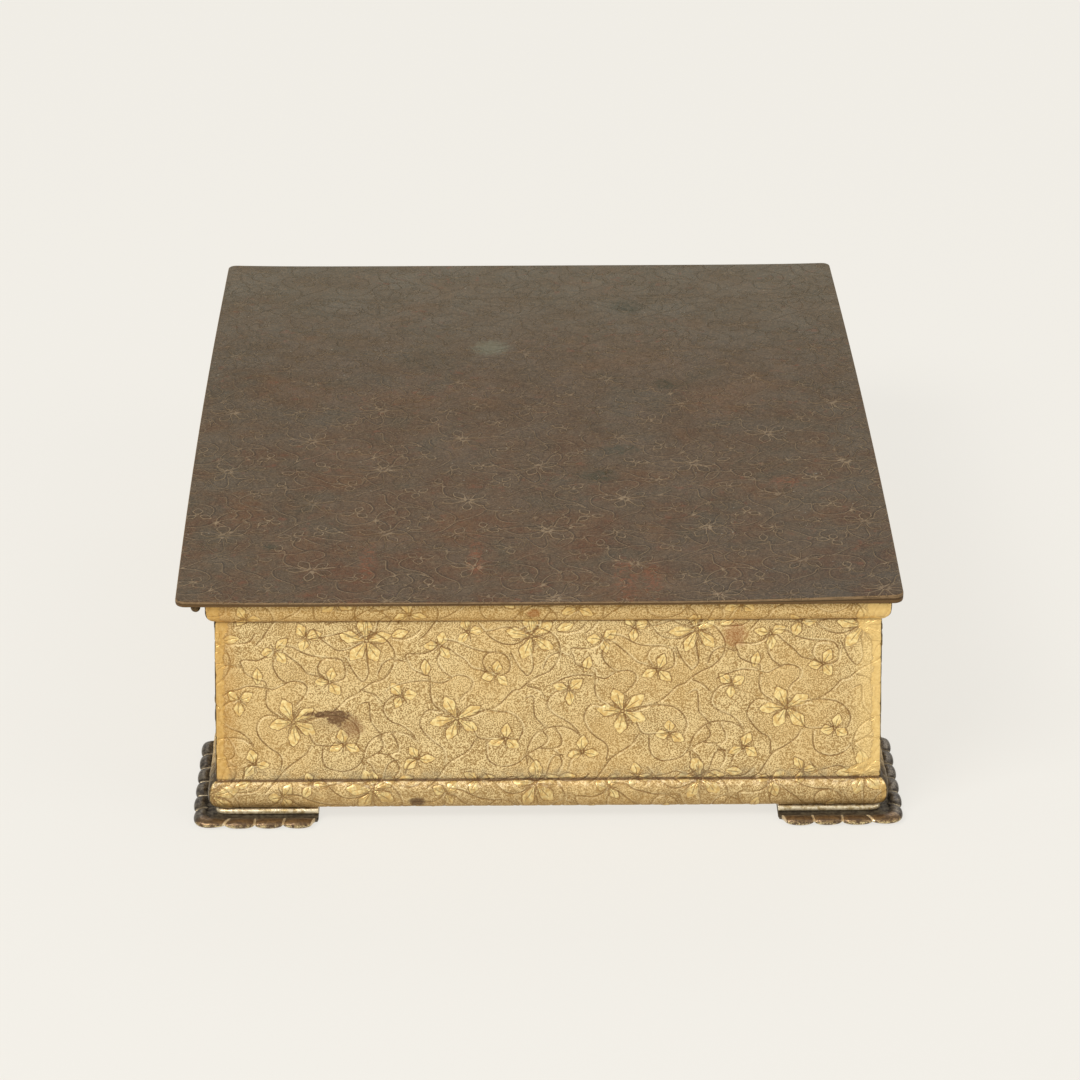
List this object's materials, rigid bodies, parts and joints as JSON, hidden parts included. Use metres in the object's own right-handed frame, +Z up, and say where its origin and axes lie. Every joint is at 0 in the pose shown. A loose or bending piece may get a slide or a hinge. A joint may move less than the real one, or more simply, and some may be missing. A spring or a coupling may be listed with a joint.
{
  "type": "vanity trinket box",
  "caption": "Low rectangular gilt sheet-brass trinket box with a flat side-hinged lid, cast scalloped bracket feet and a padded velvet lining.",
  "frame": {"origin": "middle of the whole object's outline on the surface it stands on", "axes": "+Z up, front (a short end) faces -Y, +X to the viewer's right, hinge along the -X side"},
  "size_m": [0.1338, 0.1798, 0.0454],
  "materials": {
    "gilt_brass": "gilt brass sheet, rolled floral vine pattern on a stippled ground, rubbed bright on the edges",
    "dark_patina_brass": "same rolled sheet, dark brown oxidised patina with coppery rubbing",
    "cast_brass": "cast brass, dark in the hollows, rubbed bright on the lobes and band",
    "plain_brass": "plain aged brass, satin",
    "lining_card": "grey-brown pasteboard",
    "lining_velvet": "short-pile velvet over wadding"
  },
  "bodies": {
    "box": {"base_plate": "plain_brass", "foot_back_left": "cast_brass", "foot_back_right": "cast_brass", "foot_front_left": "cast_brass", "foot_front_right": "cast_brass", "foot_screw_back_left_end": "plain_brass", "foot_screw_back_left_side": "plain_brass", "foot_screw_back_right_end": "plain_brass", "foot_screw_back_right_side": "plain_brass", "foot_screw_front_left_end": "plain_brass", "foot_screw_front_left_side": "plain_brass", "foot_screw_front_right_end": "plain_brass", "foot_screw_front_right_side": "plain_brass", "hinge_ball_back": "plain_brass", "hinge_ball_front": "plain_brass", "hinge_leaf_box": "plain_brass", "hinge_pin": "plain_brass", "lining_back": "lining_velvet", "lining_floor_board": "lining_card", "lining_floor_pad": "lining_velvet", "lining_front": "lining_velvet", "lining_left": "lining_velvet", "lining_right": "lining_velvet", "wall_back": "gilt_brass", "wall_front": "gilt_brass", "wall_left": "gilt_brass", "wall_right": "gilt_brass"},
    "lid": {"lid_plate": "dark_patina_brass", "lid_rim": "plain_brass", "lid_lining_board": "lining_card", "lid_lining_pad": "lining_velvet", "hinge_leaf_lid": "plain_brass"}
  },
  "joints": [
    {"name": "lid_hinge", "type": "hinge", "parent": "box", "child": "lid", "pos_m": [-0.06352, 0, 0.0432], "axis": [0, -1, 0], "range_deg": [0, 105]}
  ]
}
